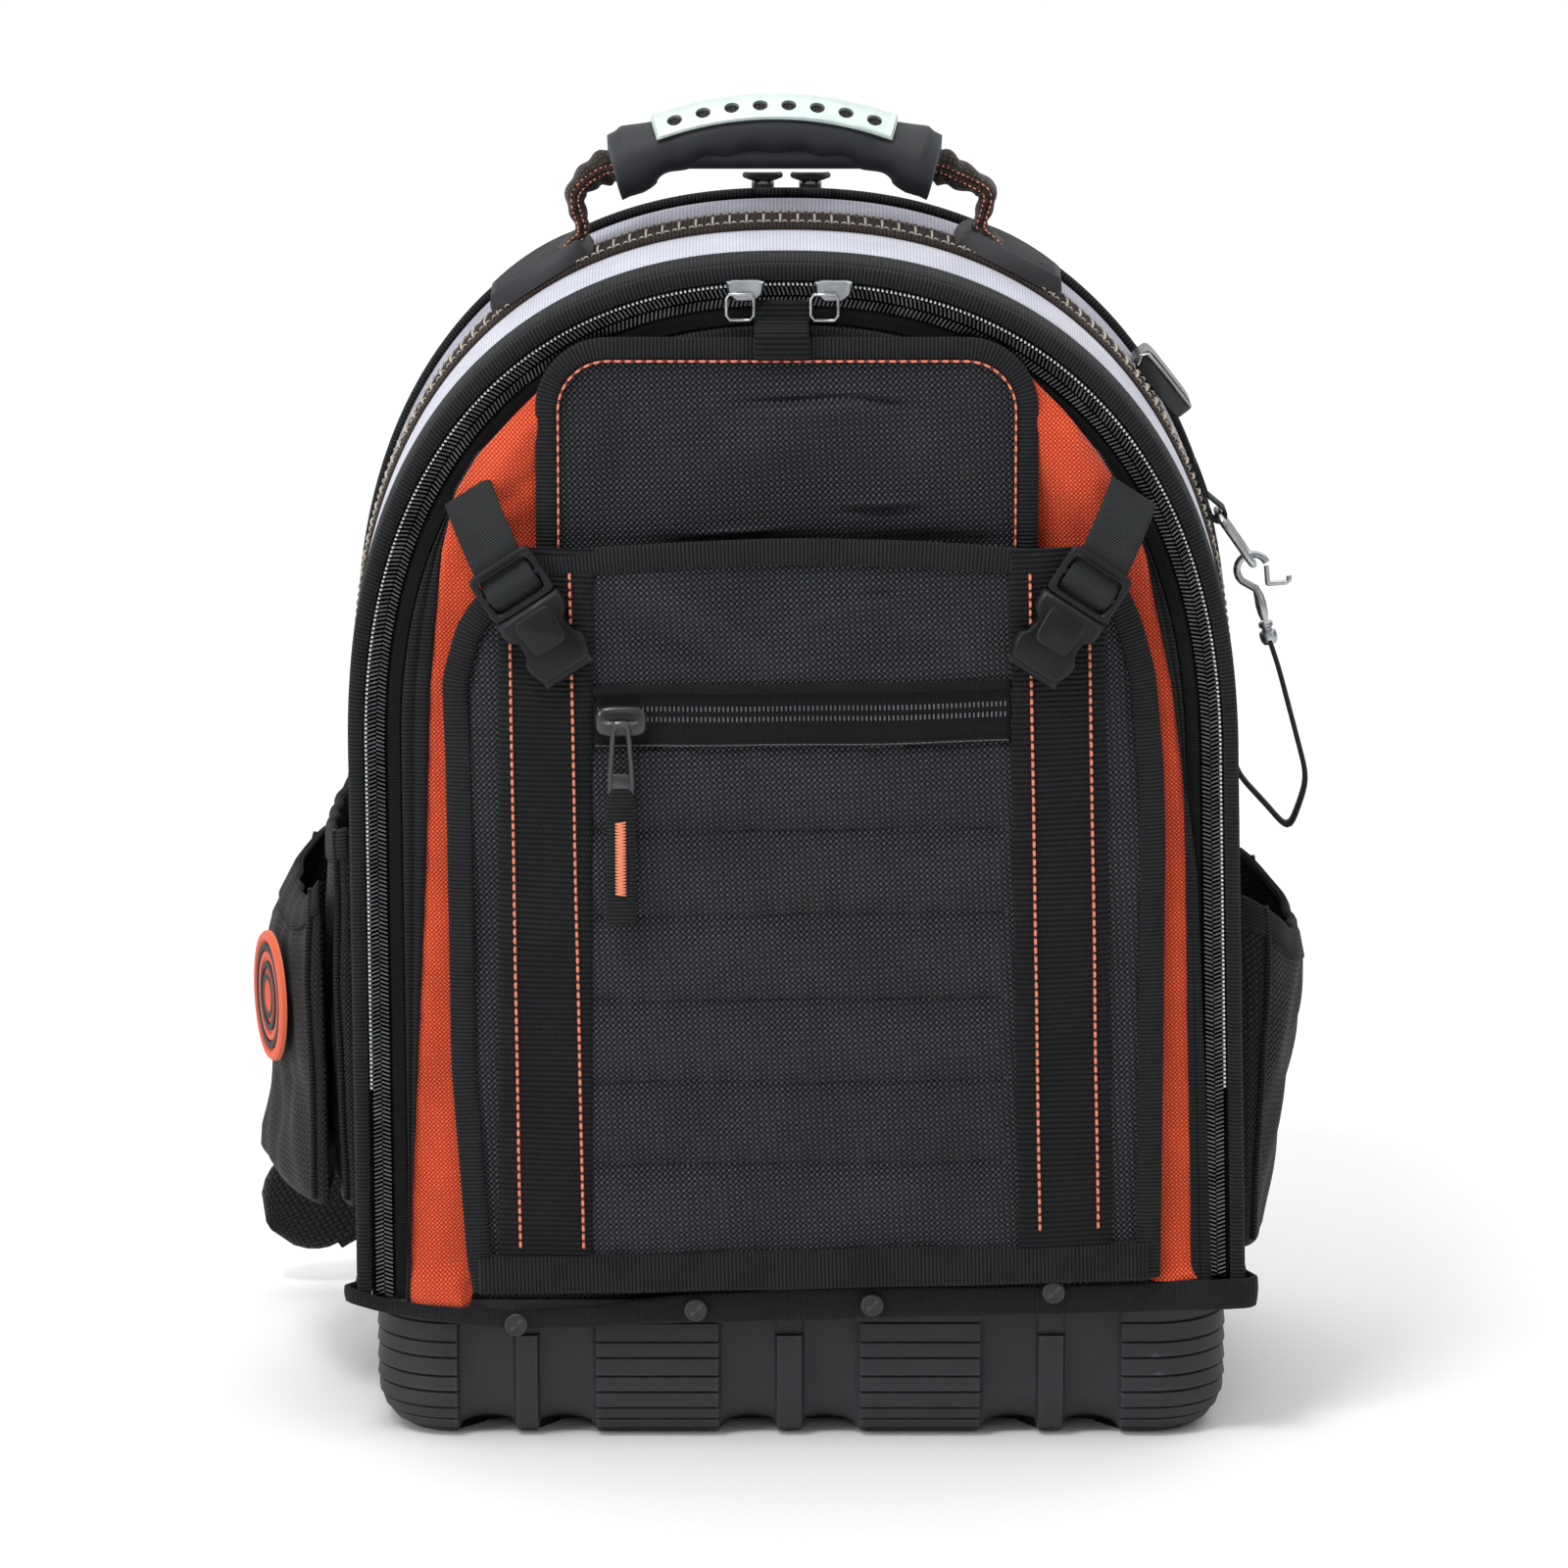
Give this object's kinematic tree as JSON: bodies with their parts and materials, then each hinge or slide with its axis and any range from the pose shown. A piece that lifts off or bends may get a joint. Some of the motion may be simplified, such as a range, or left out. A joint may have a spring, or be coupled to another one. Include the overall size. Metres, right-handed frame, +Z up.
{
  "type": "tool backpack",
  "caption": "Arched tool backpack on a moulded rubber base, with a zipped door, a quilted front pocket, side pockets, a carry handle and shoulder straps.",
  "frame": {"origin": "middle of the base's underside, on the floor", "axes": "+Z up, front of the bag towards -Y, +X to the right as the front is seen"},
  "size_m": [0.4208, 0.2722, 0.5199],
  "materials": {
    "black_fabric": "woven nylon",
    "black_webbing": "ribbed webbing",
    "brown_webbing": "stitched webbing",
    "light_tape": "pale reflective tape",
    "orange_fabric": "woven nylon",
    "rubber": "matt moulded",
    "orange_rubber": "matt moulded",
    "black_plastic": "moulded acetal",
    "zip_black": "zip tape and coil",
    "zip_metal": "worn black metal",
    "steel": "dark nickel",
    "plate_silver": "satin moulded",
    "mesh": "padded spacer mesh"
  },
  "bodies": {
    "bag": {"base_tub": "rubber", "base_skirt": "black_webbing", "skirt_rivet_1": "black_plastic", "skirt_rivet_2": "black_plastic", "skirt_rivet_3": "black_plastic", "skirt_rivet_4": "black_plastic", "main_gusset": "black_fabric", "rear_gusset": "black_fabric", "back_panel": "black_fabric", "back_pad": "mesh", "door_panel": "black_fabric", "front_light_tape": "light_tape", "stitched_webbing": "brown_webbing", "rear_light_tape": "light_tape", "crest_piping": "black_fabric", "edge_binding": "black_webbing", "main_zip": "zip_metal", "main_zip_slider_left": "zip_metal", "main_zip_slider_right": "zip_metal", "rear_zip": "zip_metal", "rear_zip_pull_left": "black_plastic", "rear_zip_pull_right": "black_plastic", "orange_bellows": "orange_fabric", "upper_flap": "black_fabric", "flap_binding": "black_webbing", "door_tab": "black_webbing", "pocket_panel": "black_fabric", "pocket_binding": "black_webbing", "pocket_webbing_left": "black_webbing", "pocket_webbing_right": "black_webbing", "pocket_zip": "zip_black", "pocket_zip_slider": "black_plastic", "compression_strap_left": "black_webbing", "compression_strap_right": "black_webbing", "buckle_frame_left": "black_plastic", "buckle_frame_right": "black_plastic", "buckle_socket_left": "black_plastic", "buckle_socket_right": "black_plastic", "handle_grip": "rubber", "handle_plate": "plate_silver", "handle_strap": "brown_webbing", "handle_anchor_left": "rubber", "handle_anchor_right": "rubber", "side_sleeve_left": "black_fabric", "side_pouch_left": "black_fabric", "pouch_badge": "orange_rubber", "side_sleeve_right": "black_fabric", "clip_tab": "black_plastic", "ring_keeper": "black_webbing", "side_ring": "steel", "swivel_eye": "steel", "tether_strap": "black_webbing", "shoulder_strap_left": "mesh", "shoulder_strap_right": "mesh"},
    "pocket_pull": {"pocket_zip_pull": "black_plastic", "pocket_zip_tail": "black_webbing"},
    "door_pull_left": {"main_zip_pull_left": "steel"},
    "door_pull_right": {"main_zip_pull_right": "steel"},
    "hook": {"hook_body": "steel"},
    "gate": {"hook_gate": "steel"}
  },
  "joints": [
    {"name": "pocket_pull_swing", "type": "hinge", "parent": "bag", "child": "pocket_pull", "pos_m": [-0.069, -0.12997, 0.294], "axis": [-1, 0, 0], "range_deg": [0, 150]},
    {"name": "door_pull_left_swing", "type": "hinge", "parent": "bag", "child": "door_pull_left", "pos_m": [-0.0235, -0.10968, 0.45624], "axis": [-1, 0, 0], "range_deg": [0, 120]},
    {"name": "door_pull_right_swing", "type": "hinge", "parent": "bag", "child": "door_pull_right", "pos_m": [0.0085, -0.10968, 0.4561], "axis": [-1, 0, 0], "range_deg": [0, 120]},
    {"name": "hook_swivel", "type": "hinge", "parent": "bag", "child": "hook", "pos_m": [0.18237, 0, 0.31616], "axis": [0.2419, 0, -0.9703], "range_deg": [-20, 20]},
    {"name": "gate_hinge", "type": "hinge", "parent": "hook", "child": "gate", "pos_m": [0.18406, 0, 0.32301], "axis": [0, -1, 0], "range_deg": [0, 14]}
  ]
}
